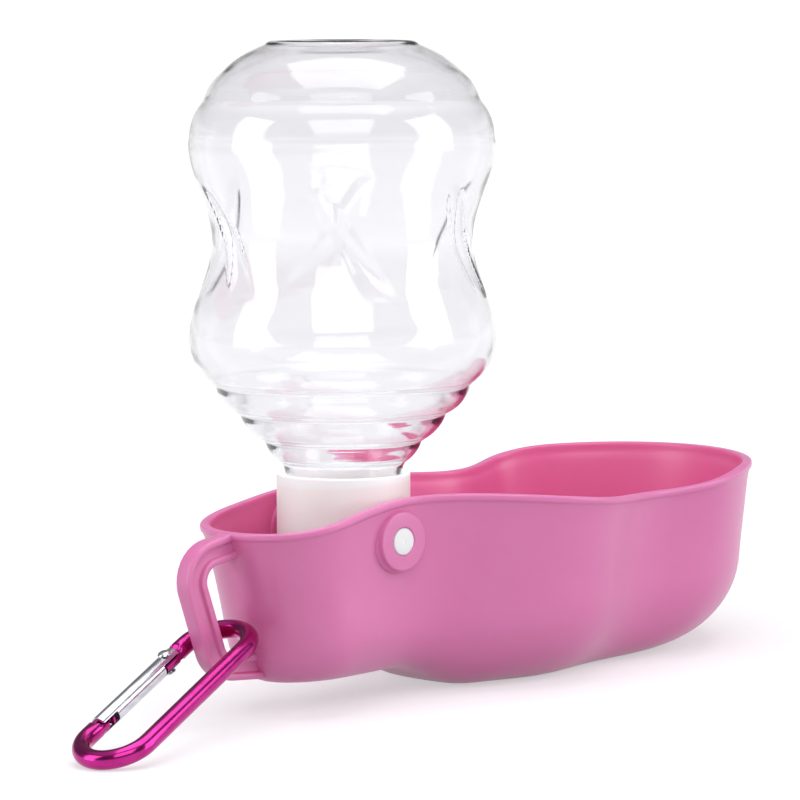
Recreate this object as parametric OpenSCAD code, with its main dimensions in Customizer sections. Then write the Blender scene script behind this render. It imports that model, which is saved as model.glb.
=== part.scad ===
// Folding travel drinker for a dog: a squeeze bottle in a pivoting cap,
// a moulded trough that it folds into, and a snap-hook to carry it by.
// X runs along the trough towards its bowl end, the pivot runs along Y,
// and Z = 0 is the table. The origin is the middle of the flat foot.

/* [Bottle] */
// Radius of the bottle at its two bulges
bulge_r = 34.4; // [32:0.2:36]
// Radius of the bottle at its waist
waist_r = 29.2; // [27:0.2:31]
// Radius of the plain neck that goes into the cap
neck_r = 12.6; // [11.8:0.1:13]
// Radius of the flat ring that the bottle stands on
base_r = 16; // [12:0.5:20]
// Wall of the bottle
bottle_wall = 0.7; // [0.5:0.1:1]
// From the pivot to the widest part of the lower bulge
low_bulge_at = 44.2; // [42:0.2:48]
// From the widest part of one bulge to that of the other
bulge_pitch = 44; // [40:1:50]
// From the upper bulge to the bottle's base
crown_h = 22.4; // [20:0.2:24]
// Depth of the slanted finger grooves
groove_depth = 1.6; // [0.8:0.1:2.2]
// Number of finger grooves round the waist
grooves = 6; // [3:1:8]

/* [Cap] */
// Outer radius of the cap
cap_r = 15; // [14.6:0.1:16]
// From the pivot to the cap's open rim
cap_rise = 14; // [12:0.5:16]
// From the pivot to the underside of the cap's end wall
cap_drop = 11; // [10:0.5:14]
// Wall of the cap
cap_wall = 1.25; // [1:0.05:1.6]
// Thickness of the cap's end wall
cap_end = 2; // [1.5:0.1:3]
// Thickness of the loose washer that seals the bottle's lip
washer_t = 1.2; // [0.8:0.1:2]
// From the pivot to the end of the nozzle
nozzle_reach = 22; // [20:0.5:23]
// Outer radius of the nozzle
nozzle_r = 3.4; // [2.8:0.1:4]
// Radius of the hole through the nozzle
nozzle_bore_r = 1.6; // [1:0.1:2]

/* [Pivot] */
// Height of the pivot above the table
pivot_z = 37.5; // [36:0.5:40]
// Radius of the cap's trunnions
trunnion_r = 3; // [2.4:0.1:3.6]
// Radius of the round bosses on the trough's cheeks
boss_r = 6.5; // [6:0.1:7.6]
// How far each boss stands out of its cheek
boss_proud = 0.9; // [0.4:0.1:1.6]
// Angle by which the bottle leans towards the bowl as it stands open
lean = 3; // [0:1:6]
// Angle from upright at which the folded bottle lies in the trough
fold = 81; // [79:0.5:86]

/* [Trough] */
// Wall of the trough
wall = 1.8; // [1.5:0.1:2.2]
// Room beside the folded bottle inside the trough
side_room = 2; // [1.5:0.1:5]
// Room beside the cap inside the trough
cheek_room = 2.1; // [1.9:0.1:4]
// Room past the base of the folded bottle
end_room = 4.4; // [3:0.2:12]
// From the pivot to the outside of the narrow end
tail_reach = 34.8; // [34:0.2:38]
// Height of the rim at the narrow end
tail_rim_z = 42.7; // [40:0.2:45]
// Height of the rim at the pivot
cheek_rim_z = 46.9; // [45:0.2:50]
// Height of the rim at the bowl's waist
waist_rim_z = 40.8; // [38:0.2:43]
// Height of the rim round the bowl's end
bowl_rim_z = 43.2; // [40:0.2:46]
// Half width of the flat foot under the bowl
foot_half_w = 15; // [11:0.5:18]
// How far the underside of the narrow end is raised off the table
tail_lift = 7.7; // [3:0.5:9]
// How far the walls lean in from the rim to the rounded bottom corner
draft = 3; // [1:0.2:4]
// The same at the end of the narrow end
tail_draft = 5; // [3:0.2:6]
// Height of the rounded bottom corner
corner_h = 22.5; // [18:0.5:25]
// Height of the bead round the rim
bead_h = 1.5; // [1:0.1:2.5]
// How far the bead stands out of the wall
bead_out = 0.4; // [0.2:0.1:0.8]

/* [Outlet seal] */
// Radius of the soft pad that the nozzle's end is swept against
pad_r = 4; // [3.6:0.1:4.5]
// Thickness of the pad
pad_t = 2.6; // [2:0.1:3.5]
// Radius of the pad's stem
stem_r = 1.5; // [1.2:0.1:2]
// Length of the pad's stem
stem_l = 3.5; // [2:0.5:5]

/* [Lanyard loop] */
// Thickness of the loop's strap, seen from the side
strap_t = 5.6; // [4.5:0.1:6.5]
// Width of the strap's two flanges
strap_w = 4.2; // [3.6:0.1:4.6]
// Width of the web between the flanges
web_w = 3; // [2:0.1:4]
// Thickness of each flange
flange_t = 1.5; // [1:0.1:2]

/* [Snap-hook] */
// Radius of the hook's rod
rod_r = 2.1; // [1.8:0.1:2.3]
// Radius of the small bend, which hangs in the loop
small_bend_r = 7.9; // [7.8:0.1:10]
// Radius of the large bend
large_bend_r = 7.9; // [7.8:0.1:13]
// Distance between the middles of the two bends
bend_gap = 38.5; // [34:0.5:46]
// Angle by which the hook lies turned from the line of the trough
hook_turn = 13; // [6:1:16]
// Outer radius of the gate's sleeve
gate_r = 2.1; // [1.9:0.05:2.3]
// Radius of the gate's bore
gate_bore_r = 1.5; // [1.3:0.05:1.6]
// Thickness of the rod's flattened tongues
tongue_t = 1.6; // [1.2:0.1:1.8]
// Radius of the rivet that the gate turns on
rivet_r = 0.8; // [0.6:0.05:1]
// Radius of the pin across the gate's free end
latch_r = 0.5; // [0.4:0.05:0.6]
// Radius of the wire of the gate's spring
wire_r = 0.2; // [0.15:0.05:0.25]
// Number of turns of the gate's spring
spring_turns = 9; // [5:1:12]

/* [Fits] */
// Radial clearance of a pin that turns in its hole
run_gap = 0.05; // [0.03:0.01:0.08]
// Gap left between pieces that pass each other
pass_gap = 0.3; // [0.3:0.05:0.5]
// Gap left where a loose washer is held
rest_gap = 0.15; // [0.1:0.05:0.3]

/* [Hidden] */
$fn = 64;

pink = "#d873ab";
clear = "#dfe8ee";
white = "#f2ecec";
magenta = "#b01f7a";
silver = "#c3c8cf";
soft = "#e8e8e8";

// ---- smooth curves through a few stations -------------------------------
function ease(t) = (1 - cos(180 * t)) / 2;
function seat(list, x, i = 0) =
    i >= len(list) - 2 || x < list[i + 1][0] ? i : seat(list, x, i + 1);
function flow(list, x) =
    let (i = seat(list, x), a = list[i], b = list[i + 1])
    let (t = max(0, min(1, (x - a[0]) / (b[0] - a[0]))))
    a[1] + (b[1] - a[1]) * ease(t);
// points of a shallow arc from a to b, which stands off the chord by sag
function shallow_arc(a, b, sag, n = 6) =
    let (d = b - a, side = [d[1], -d[0]] / norm(d))
    [for (i = [0:n]) a + d * i / n + side * sag * 4 * (i / n) * (1 - i / n)];
function reversed(list) = [for (i = [len(list) - 1:-1:0]) list[i]];

// ---- bottle ---------------------------------------------------------------
high_bulge_at = low_bulge_at + bulge_pitch;
waist_at = low_bulge_at + bulge_pitch / 2;
bottle_end = high_bulge_at + crown_h;
lip_at = -cap_drop + cap_end + washer_t + 2 * rest_gap;
collar_r = neck_r + 0.6;
step = [cap_rise + 2, cap_rise + 7, cap_rise + 13.2, cap_rise + 19.5];
step_r = [collar_r, 17.3, 22.9, 28.3];
step_sag = [0.7, 0.9, 1.1, 1.5];
crown = [high_bulge_at, bottle_end - 13.8, bottle_end - 6.9, bottle_end - 1];
crown_r = [bulge_r, bulge_r - 3.2, bulge_r - 7.8, base_r + 1.4];
crown_sag = [0.9, 0.7, 0.5];
ledge = 0.35;
// the moulded bands at both ends of the waist stand out by this much
seam = 0.15;

function hourglass(s) =
    (bulge_r + waist_r) / 2 + (bulge_r - waist_r) / 2 * cos(360 * (s - low_bulge_at) / bulge_pitch);

neck_skin = concat(
    [[neck_r, lip_at], [neck_r, cap_rise - 1], [collar_r, cap_rise + 0.5]],
    [for (i = [0:2]) each shallow_arc([step_r[i], step[i]], [step_r[i + 1] + ledge, step[i + 1]],
                                      step_sag[i], 5)],
    shallow_arc([step_r[3], step[3]], [bulge_r + seam, low_bulge_at], step_sag[3], 6)
);
crown_skin = concat(
    [[bulge_r + seam, high_bulge_at]],
    [for (i = [0:2]) each shallow_arc([crown_r[i] - ledge, crown[i] + 0.5], [crown_r[i + 1], crown[i + 1]],
                                      crown_sag[i], 5)]
);
function thinner(p) = [p[0] - bottle_wall - (p[0] > bulge_r ? 2 * seam : 0), p[1]];
punt_r = base_r - 3;
punt_h = 2.5;
base_in = bottle_end - bottle_wall;
crown_edge = concat(crown_skin, [[base_r, bottle_end], [punt_r, bottle_end], [punt_r - 2, bottle_end - punt_h],
                                 [0, bottle_end - punt_h]]);
crown_inner = concat([for (p = crown_skin) if (p[1] < base_in) thinner(p)],
                     [[base_r - 0.3, base_in], [punt_r - 0.4, base_in], [punt_r - 2.4, base_in - punt_h],
                      [0, base_in - punt_h]]);
// finger grooves: each runs aslant over the waist, and is wider towards the neck
groove_half_l = 12;
groove_slant = 13;
groove_w = 2.3;
groove_turn = -9;
function lobe(t) = abs(t) >= 1 ? 0 : pow(cos(90 * t), 2);
function groove_dip(a, s) =
    let (u = (s - waist_at) / groove_half_l, pitch = 360 / grooves)
    let (off = a - groove_turn + groove_slant * u, near = off - pitch * round(off / pitch))
    let (across = near * PI / 180 * waist_r / (groove_w * (1.3 - 0.5 * u)))
    groove_depth * lobe(across / 1.6) * sqrt(max(0, 1 - u * u));
waist_rings = 14;
// angles across one groove and on to the next, as shares of the pitch
across_groove = [-0.35, -0.25, -0.175, -0.125, -0.085, -0.042, 0, 0.042, 0.085, 0.125, 0.175, 0.25, 0.35, 0.5];
function waist_ring(i, inset) =
    let (s = low_bulge_at + bulge_pitch * i / waist_rings, u = (s - waist_at) / groove_half_l)
    [for (g = [0:grooves - 1]) for (o = across_groove)
        let (a = groove_turn - groove_slant * u + 360 * (g + o) / grooves)
        let (r = hourglass(s) - groove_dip(a, s) - inset) [r * cos(a), r * sin(a), s]];

// ---- trough: stations along X, measured from the pivot --------------------
cap_bore_r = cap_r - cap_wall;
neck_half = cap_r + cheek_room + wall;
bulge_half = bulge_r + side_room + wall;
waist_half = waist_r + side_room + wall;
seal_face = nozzle_reach + pass_gap + 0.1;
tail_x = -tail_reach;
bowl_x = bottle_end + end_room + wall;
tail_round = 18;
bowl_round = 36;
tail_foot_x = -24;
foot_start = 22;
foot_end = bowl_x - 25;
foot_mid = 57.5;
// the underside of the bowl is cut off flat by this much
foot_cut = 0.3;

half_w = [[tail_x, neck_half + 1.2], [0, neck_half], [low_bulge_at, bulge_half], [waist_at, waist_half],
          [high_bulge_at, bulge_half - 0.4], [bowl_x, bulge_half - 0.4]];
rim_z = [[tail_x, tail_rim_z], [4, cheek_rim_z], [waist_at + 6, waist_rim_z], [bowl_x - 18, bowl_rim_z],
         [bowl_x, bowl_rim_z]];
foot_half = [[tail_foot_x, 9], [8, 7], [foot_start, 7], [low_bulge_at, foot_half_w],
             [waist_at, foot_half_w - 1.5], [foot_end, foot_half_w - 1.5]];
under_z = [[-22, tail_lift], [5, tail_lift - 0.8], [foot_start + 4, -foot_cut]];
drafts = [[tail_x, tail_draft], [tail_x + 20, draft]];
corner_z = [[tail_x, corner_h - 5], [0, corner_h - 4], [low_bulge_at, corner_h], [bowl_x, corner_h]];

around = 96;
corner_steps = 7;
wall_steps = 4;

function round_end(d, l) = d >= l ? 1 : sqrt(max(0, 1 - pow((l - d) / l, 2)));
function rim_x(a) = (bowl_x + tail_x) / 2 + (bowl_x - tail_x) / 2 * cos(a);
function foot_x(a) = (foot_end + tail_foot_x) / 2 + (foot_end - tail_foot_x) / 2 * cos(a);
function rim_at(a) =
    let (x = rim_x(a))
    let (w = flow(half_w, x) * round_end(x - tail_x, tail_round) * round_end(bowl_x - x, bowl_round))
    [x, sign(sin(a)) * w, flow(rim_z, x)];
function foot_at(a) =
    let (x = foot_x(a))
    let (w = flow(foot_half, x) * round_end(x - tail_foot_x, 12) * round_end(foot_end - x, 22))
    [x, sign(sin(a)) * w, flow(under_z, x)];
// soft swell of the narrow end's side, below the pivot
function swell(x, z) = 1.5 * exp(-pow((x + 12) / 14, 2)) * exp(-pow((z - 18.5) / 7, 2));
// v runs from 0 at the foot's edge through 1 at the top of the corner to 2 at the rim
function skin(a, v) =
    let (r = rim_at(a), f = foot_at(a))
    let (run = norm([r[0] - f[0], r[1] - f[1]]), top = r + (f - r) * min(0.6, flow(drafts, r[0]) / run))
    let (c = flow(corner_z, r[0]))
    let (p = v <= 1
        ? [f[0] + (top[0] - f[0]) * sin(90 * v), f[1] + (top[1] - f[1]) * sin(90 * v),
           f[2] + (c - f[2]) * (1 - cos(90 * v))]
        : [top[0] + (r[0] - top[0]) * (v - 1), top[1] + (r[1] - top[1]) * (v - 1), c + (r[2] - c) * (v - 1)])
    let (out = [0, sign(sin(a)) * swell(p[0], p[2]), 0])
    p + out * min(1, abs(sin(a)) * 3);
function unit(p) = p / max(1e-6, norm(p));
function skin_normal(a, v) =
    let (h = 1.2, g = 0.02)
    let (du = skin(a + h, v) - skin(a - h, v), dv = skin(a, min(2, v + g)) - skin(a, max(0, v - g)))
    unit(cross(du, dv));
function flat_normal(a) = let (n = skin_normal(a, 1.9)) unit([n[0], n[1], 0]);

skin_v = concat([for (i = [0:corner_steps]) i / corner_steps], [for (i = [1:wall_steps - 1]) 1 + i / wall_steps]);
angles = [for (i = [0:around - 1]) 360 * (i + 0.5) / around];
function rim_ring(out, drop) = [for (a = angles) rim_at(a) + flat_normal(a) * out - [0, 0, drop]];
trough_rings = concat(
    [for (v = skin_v) [for (a = angles) skin(a, v)]],
    [rim_ring(0, bead_h + 0.6), rim_ring(bead_out, bead_h), rim_ring(bead_out, 0.5),
     rim_ring(bead_out - 0.5, 0), rim_ring(0.5 - wall, 0), rim_ring(-wall, 0.5), rim_ring(-wall, bead_h + 0.6)],
    [for (v = reversed(skin_v)) [for (a = angles) skin(a, v) - skin_normal(a, v) * wall]]
);
// a solid through rings of points: the first and last are its ends, or they meet when it is a loop
module ring_solid(rings, loop = false) {
    n = len(rings[0]);
    m = len(rings);
    points = [for (ring = rings) each ring];
    sides = [for (j = [0:m - (loop ? 1 : 2)]) for (i = [0:n - 1])
        let (k = (i + 1) % n, up = (j + 1) % m)
        each [[j * n + i, up * n + i, j * n + k], [j * n + k, up * n + i, up * n + k]]];
    first = [for (i = [0:n / 2 - 2]) [i, i + 1, n - 2 - i, n - 1 - i]];
    last = [for (q = first) [for (i = reversed(q)) (m - 1) * n + i]];
    polyhedron(points, loop ? sides : concat(sides, first, last));
}

// ---- lanyard loop ----------------------------------------------------------
// middle line of the strap, in the plane of the loop: its corners and their radii
strap_corners = [[tail_x + 1, 39.8], [tail_x - 12.3, 37.9], [tail_x - 5.1, 13.3], [tail_x + 7.4, 11.9]];
strap_bend_r = [0, 6.2, 6, 0];
// the lower end of the strap is cut to the slant of the trough's corner
strap_foot_cut = [0.8, -1.1];
function bend_points(a, b, c, r, n = 8) =
    let (u = unit(a - b), w = unit(c - b))
    let (half = acos(u * w) / 2, reach = r / tan(half), mid = b + unit(u + w) * r / sin(half))
    let (s = b + u * reach - mid, e = b + w * reach - mid)
    [for (i = [0:n]) let (t = i / n, d = unit(s * (1 - t) + e * t)) mid + d * r];
strap_line = concat([strap_corners[0]],
    [for (i = [1:2]) each bend_points(strap_corners[i - 1], strap_corners[i], strap_corners[i + 1],
                                      strap_bend_r[i])],
    [strap_corners[3]]);
function line_normal(p, i) =
    let (d = unit(p[min(len(p) - 1, i + 1)] - p[max(0, i - 1)]))
    i == len(p) - 1 ? strap_foot_cut : [d[1], -d[0]];
function strap_edge(out) = [for (i = [0:len(strap_line) - 1]) strap_line[i] + line_normal(strap_line, i) * out];
module strap_band(inner, outer, width) {
    rotate([90, 0, 0])
        linear_extrude(width, center = true)
            polygon(concat(strap_edge(-inner), reversed(strap_edge(-outer))));
}

// ---- snap-hook: flat, with its hanging point at the origin -----------------
taper = asin((large_bend_r - small_bend_r) / bend_gap);
side_l = bend_gap * cos(taper);
hook_at = [tail_x + 0.1, -0.8, 21.26];
// the large bend comes down to rest on the table
hook_slope = asin((hook_at[2] - rod_r) / (small_bend_r + bend_gap + large_bend_r));
tongue_from = 3;
tongue_to = 10;
rivet_at = 7.5;
gate_from = 4.8;
gate_to = side_l - 4.4;
latch_at = gate_to - 1.9;
plunger_from = tongue_to + pass_gap;
plunger_l = 4;
spring_from = plunger_from + plunger_l + 0.1;
spring_to = latch_at - 4.5;
slot_w = tongue_t + 2 * pass_gap;
// the straight stretches are drawn a touch thinner, and run a little way into the bends
straight_r = rod_r - 0.03;
bend_lap = 0.3;

// ---- pieces ----------------------------------------------------------------
module at_pivot() {
    translate([-foot_mid, 0, pivot_z]) children();
}
module tilted() {
    at_pivot() rotate([0, lean, 0]) children();
}

module trough() {
    color(pink)
        translate([-foot_mid, 0, 0])
            difference() {
                union() {
                    ring_solid(trough_rings);
                    for (side = [-1, 1]) boss(side);
                    seal_post();
                    loop_strap();
                }
                pivot_bore();
                seal_socket();
                translate([0, -bulge_half, -10]) cube([bowl_x, 2 * bulge_half, 10]);
            }
}
boss_face = neck_half + boss_proud;
pad_face = cap_r + pass_gap;
module boss(side) {
    translate([0, side * (boss_face + pad_face) / 2, pivot_z])
        rotate([90, 0, 0]) cylinder(r = boss_r, h = boss_face - pad_face, center = true);
}
module pivot_bore() {
    translate([0, 0, pivot_z])
        rotate([90, 0, 0]) cylinder(r = trunnion_r + run_gap, h = 2 * boss_face + 2, center = true);
}
module toward_seal() {
    translate([0, 0, pivot_z]) rotate([0, fold + 90, 0]) rotate([0, 90, 0]) children();
}
// the post runs into the middle of the sloping wall behind it
post_end = tail_reach - 0.4 * tail_draft - wall / 2;
module seal_post() {
    toward_seal()
        translate([0, 0, seal_face + pad_t]) cylinder(r = pad_r, h = post_end - seal_face - pad_t);
}
module seal_socket() {
    toward_seal()
        translate([0, 0, seal_face + pad_t - 0.01]) cylinder(r = stem_r, h = stem_l + 0.01);
}
module loop_strap() {
    strap_band(strap_t / 2, -strap_t / 2, web_w);
    strap_band(strap_t / 2, strap_t / 2 - flange_t, strap_w);
    strap_band(flange_t - strap_t / 2, -strap_t / 2, strap_w);
}

module outlet_seal() {
    color(soft)
        translate([-foot_mid, 0, 0])
            difference() {
                toward_seal() {
                    translate([0, 0, seal_face - 1]) cylinder(r = pad_r, h = pad_t + 1);
                    translate([0, 0, seal_face + pad_t - 0.5]) cylinder(r = stem_r, h = stem_l + 0.5);
                }
                translate([0, 0, pivot_z])
                    rotate([90, 0, 0]) cylinder(r = seal_face, h = 4 * pad_r, center = true, $fn = 128);
            }
}

module cap() {
    color(white)
        tilted()
            difference() {
                union() {
                    translate([0, 0, -cap_drop]) cylinder(r = cap_r, h = cap_rise + cap_drop);
                    rotate([90, 0, 0]) cylinder(r = trunnion_r, h = 2 * boss_face, center = true);
                    intersection() {
                        translate([0, 0, -nozzle_reach - 1]) cylinder(r = nozzle_r, h = nozzle_reach);
                        rotate([90, 0, 0]) cylinder(r = nozzle_reach, h = 4 * nozzle_r, center = true, $fn = 128);
                    }
                }
                translate([0, 0, cap_end - cap_drop]) cylinder(r = cap_bore_r, h = cap_rise + cap_drop);
                translate([0, 0, -nozzle_reach - 1]) cylinder(r = nozzle_bore_r, h = nozzle_reach);
            }
}

module neck_seal() {
    color(soft)
        tilted()
            translate([0, 0, cap_end - cap_drop + rest_gap])
                difference() {
                    cylinder(r = cap_bore_r - rest_gap, h = washer_t);
                    translate([0, 0, -1]) cylinder(r = neck_r - 3.4, h = washer_t + 2);
                }
}

module bottle() {
    color(clear, 0.4)
        tilted() {
            rotate_extrude($fn = 96) polygon(concat(neck_skin, [for (p = reversed(neck_skin)) thinner(p)]));
            ring_solid(concat([for (i = [0:waist_rings]) waist_ring(i, 0)],
                              [for (i = [waist_rings:-1:0]) waist_ring(i, bottle_wall)]), true);
            rotate_extrude($fn = 96) polygon(concat(crown_edge, reversed(crown_inner)));
        }
}

module hook_place() {
    translate([-foot_mid, 0, 0])
        translate(hook_at) rotate([0, hook_slope, 180 + hook_turn]) children();
}
// a straight stretch along the gate's side, from its small-bend end
module gate_side() {
    translate([small_bend_r, 0, 0])
        rotate([0, 0, -taper]) translate([0, -small_bend_r, 0]) children();
}
module rod(from, to, r) {
    translate([from, 0, 0]) rotate([0, 90, 0]) cylinder(r = r, h = to - from);
}
module tongue(from, to) {
    intersection() {
        rod(from, to, straight_r);
        translate([from - 1, -rod_r - 1, -tongue_t / 2]) cube([to - from + 2, 2 * rod_r + 2, tongue_t]);
    }
}
module bend(r, from, to) {
    rotate([0, 0, from]) rotate_extrude(angle = to - from) translate([r, 0]) circle(r = rod_r, $fn = 32);
}
module carabiner_body() {
    color(magenta)
        hook_place()
            difference() {
                union() {
                    translate([small_bend_r, 0, 0]) bend(small_bend_r, 90 + taper, 270 - taper);
                    translate([small_bend_r + bend_gap, 0, 0]) bend(large_bend_r, -90 - taper, 90 + taper);
                    mirror([0, 1, 0]) gate_side() rod(-bend_lap, side_l + bend_lap, straight_r);
                    gate_side() rod(-bend_lap, tongue_from, straight_r);
                    gate_side() tongue(tongue_from - 0.2, tongue_to);
                    gate_side() tongue(latch_at - 1.5, gate_to + 1.2);
                    gate_side() rod(gate_to + 1, side_l + bend_lap, straight_r);
                }
                gate_side() translate([rivet_at, 0, 0]) cylinder(r = rivet_r, h = 4 * rod_r, center = true);
                gate_side() latch_notch();
            }
}
// hooked notch, open towards the inside, that the gate's pin swings into
module latch_notch() {
    translate([latch_at, 0, 0]) cylinder(r = latch_r + pass_gap, h = 4 * rod_r, center = true);
    translate([latch_at - latch_r - pass_gap, 0, -2 * rod_r])
        cube([2 * (latch_r + pass_gap), 2 * rod_r, 4 * rod_r]);
}
module carabiner_gate() {
    color(silver)
        hook_place()
            gate_side()
                difference() {
                    rod(gate_from, gate_to, gate_r);
                    rod(gate_from - 1, spring_to, gate_bore_r);
                    for (cut = [[gate_from - 1, plunger_from + 0.4], [latch_at - 3, gate_to + 1]])
                        translate([cut[0], -2 * gate_r, -slot_w / 2]) cube([cut[1] - cut[0], 4 * gate_r, slot_w]);
                    translate([rivet_at, 0, 0]) cylinder(r = rivet_r + run_gap, h = 4 * gate_r, center = true);
                    translate([latch_at, 0, 0]) cylinder(r = latch_r, h = 4 * gate_r, center = true);
                }
}
module gate_rivet() {
    color(silver)
        hook_place()
            gate_side()
                translate([rivet_at, 0, 0]) {
                    cylinder(r = rivet_r, h = 2 * gate_r + 0.4, center = true);
                    for (side = [-1, 1]) translate([0, 0, side * (gate_r + 0.35)]) cylinder(r = 1.5, h = 0.5, center = true);
                }
}
module gate_latch_pin() {
    color(silver)
        hook_place()
            gate_side()
                translate([latch_at, 0, 0]) cylinder(r = latch_r, h = 2 * gate_r - 0.3, center = true);
}
module gate_plunger() {
    color(silver)
        hook_place()
            gate_side() {
                rod(plunger_from, plunger_from + plunger_l, gate_bore_r - run_gap);
                rod(plunger_from + plunger_l - 0.5, plunger_from + plunger_l + 3, 0.6);
            }
}
coil_r = gate_bore_r - wire_r - 0.1;
coil_rings = [for (i = [0:spring_turns * 10])
    let (a = 36 * i, l = spring_to - spring_from - 2 * wire_r)
    let (x = spring_from + wire_r + l * i / (spring_turns * 10))
    [for (k = [0:5]) let (b = 60 * k) [x + wire_r * sin(b), (coil_r + wire_r * cos(b)) * cos(a),
                                      (coil_r + wire_r * cos(b)) * sin(a)]]];
module gate_spring() {
    color(silver) hook_place() gate_side() ring_solid(coil_rings);
}

trough();
outlet_seal();
cap();
neck_seal();
bottle();
carabiner_body();
carabiner_gate();
gate_rivet();
gate_latch_pin();
gate_spring();
gate_plunger();
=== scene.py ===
import math

import bmesh
import bpy
from mathutils import Matrix, Vector


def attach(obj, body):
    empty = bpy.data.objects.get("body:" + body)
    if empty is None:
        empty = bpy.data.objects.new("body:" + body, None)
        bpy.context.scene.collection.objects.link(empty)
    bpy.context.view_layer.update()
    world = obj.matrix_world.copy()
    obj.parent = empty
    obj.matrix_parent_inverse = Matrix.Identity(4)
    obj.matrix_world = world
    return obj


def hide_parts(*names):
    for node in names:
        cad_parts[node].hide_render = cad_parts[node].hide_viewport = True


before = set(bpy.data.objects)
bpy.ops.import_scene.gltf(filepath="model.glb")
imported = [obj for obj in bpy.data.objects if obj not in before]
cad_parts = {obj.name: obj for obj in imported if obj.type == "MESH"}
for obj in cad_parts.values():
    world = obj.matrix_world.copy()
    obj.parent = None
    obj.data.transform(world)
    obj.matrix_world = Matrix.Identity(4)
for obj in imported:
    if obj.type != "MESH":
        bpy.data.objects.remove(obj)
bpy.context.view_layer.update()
scene = bpy.context.scene
mm = 0.001
pivotX = -57.5
pivot = Vector((pivotX, 0, 37.5)) * mm
lean = math.radians(3)
upright = Matrix.Translation(pivot) @ Matrix.Rotation(lean, 4, "Y")
print("frame loaded:", len(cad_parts), "nodes")


# smooth curves through a few stations
def ease(t):
    return (1 - math.cos(math.pi * t)) / 2


def flow(stations, x):
    if x <= stations[0][0]:
        return stations[0][1]
    for (x0, y0), (x1, y1) in zip(stations, stations[1:]):
        if x < x1:
            return y0 + (y1 - y0) * ease((x - x0) / (x1 - x0))
    return stations[-1][1]


def arcPoints(start, end, sag, count=8):
    # a shallow arc from start to end that stands off its chord by sag
    a, b = Vector(start), Vector(end)
    along = b - a
    side = Vector((along.y, -along.x)).normalized()
    steps = [i / count for i in range(count + 1)]
    return [tuple(a + along * t + side * sag * 4 * t * (1 - t)) for t in steps]


def roundCorners(points, radius, steps=4):
    # the inner points of a path turned into small arcs
    path = [Vector(p) for p in points]
    done = [tuple(path[0])]
    for before, corner, after in zip(path, path[1:], path[2:]):
        cut = min(radius, (before - corner).length * 0.45, (after - corner).length * 0.45)
        a = corner + (before - corner).normalized() * cut
        b = corner + (after - corner).normalized() * cut
        for i in range(steps + 1):
            t = i / steps
            done.append(tuple(a * (1 - t) ** 2 + corner * 2 * t * (1 - t) + b * t ** 2))
    done.append(tuple(path[-1]))
    return done


def soften(points, times):
    # each pass draws the inner points of a path towards their neighbours
    path = [Vector(p) for p in points]
    for _ in range(times):
        inner = [(a + 2 * b + c) / 4 for a, b, c in zip(path, path[1:], path[2:])]
        path = [path[0]] + inner + [path[-1]]
    return [tuple(p) for p in path]


# meshes
def lathe(profile, steps=96, closed=False):
    # profile holds (radius, height) pairs in millimetres
    bm = bmesh.new()
    verts = [bm.verts.new((r * mm, 0, z * mm)) for r, z in profile]
    edges = [bm.edges.new(pair) for pair in zip(verts, verts[1:])]
    if closed:
        edges.append(bm.edges.new((verts[-1], verts[0])))
    bmesh.ops.spin(bm, geom=verts + edges, cent=(0, 0, 0), axis=(0, 0, 1), angle=2 * math.pi,
                   steps=steps, use_merge=True)
    bmesh.ops.remove_doubles(bm, verts=bm.verts, dist=1e-7)
    bmesh.ops.recalc_face_normals(bm, faces=bm.faces)
    return bm


def addPiece(name, bm, material, sharp=40):
    mesh = bpy.data.meshes.new(name)
    bm.to_mesh(mesh)
    bm.free()
    mesh.materials.append(material)
    mesh.shade_smooth()
    mesh.set_sharp_from_angle(angle=math.radians(sharp))
    piece = bpy.data.objects.new(name, mesh)
    scene.collection.objects.link(piece)
    return piece


def settle(piece, sharp=40):
    # the modifiers are made part of the mesh
    bpy.context.view_layer.update()
    shaped = piece.evaluated_get(bpy.context.evaluated_depsgraph_get())
    mesh = bpy.data.meshes.new_from_object(shaped)
    piece.modifiers.clear()
    piece.data = mesh
    mesh.shade_smooth()
    mesh.set_sharp_from_angle(angle=math.radians(sharp))
    return piece


def combine(piece, other, operation):
    cut = piece.modifiers.new("combine", "BOOLEAN")
    cut.operation = operation
    cut.solver = "EXACT"
    cut.object = other
    settle(piece)
    bpy.data.objects.remove(other)
    return piece


def mount(piece, body, slotName, *nodes):
    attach(piece, body)
    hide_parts(*nodes)
    return piece


def ringEdges(bm, ring):
    return [bm.edges.get(pair) for pair in zip(ring, ring[1:] + ring[:1])]


def loft(rings, closeEnds=True):
    # each ring of points is extruded from the ring before it
    count = len(rings[0])
    bm = bmesh.new()
    made = bmesh.ops.create_circle(bm, segments=count, radius=1, cap_ends=False)["verts"]
    ring = sorted(made, key=lambda v: math.atan2(v.co.y, v.co.x) % (2 * math.pi))
    first = ring
    for step, places in enumerate(rings):
        if step:
            grown = bmesh.ops.extrude_edge_only(bm, edges=ringEdges(bm, ring))
            fresh = {g for g in grown["geom"] if isinstance(g, bmesh.types.BMVert)}
            ring = [next(e.other_vert(v) for e in v.link_edges if e.other_vert(v) in fresh)
                    for v in ring]
        for vert, place in zip(ring, places):
            vert.co = place
    if closeEnds:
        for end in (first, ring):
            bmesh.ops.contextual_create(bm, geom=ringEdges(bm, end))
        bmesh.ops.recalc_face_normals(bm, faces=bm.faces)
        return bm
    return bm, first, ring


# materials
def nodeMaterial(name):
    material = bpy.data.materials.new(name)
    material.use_nodes = True
    return material, material.node_tree.nodes, material.node_tree.links


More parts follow.
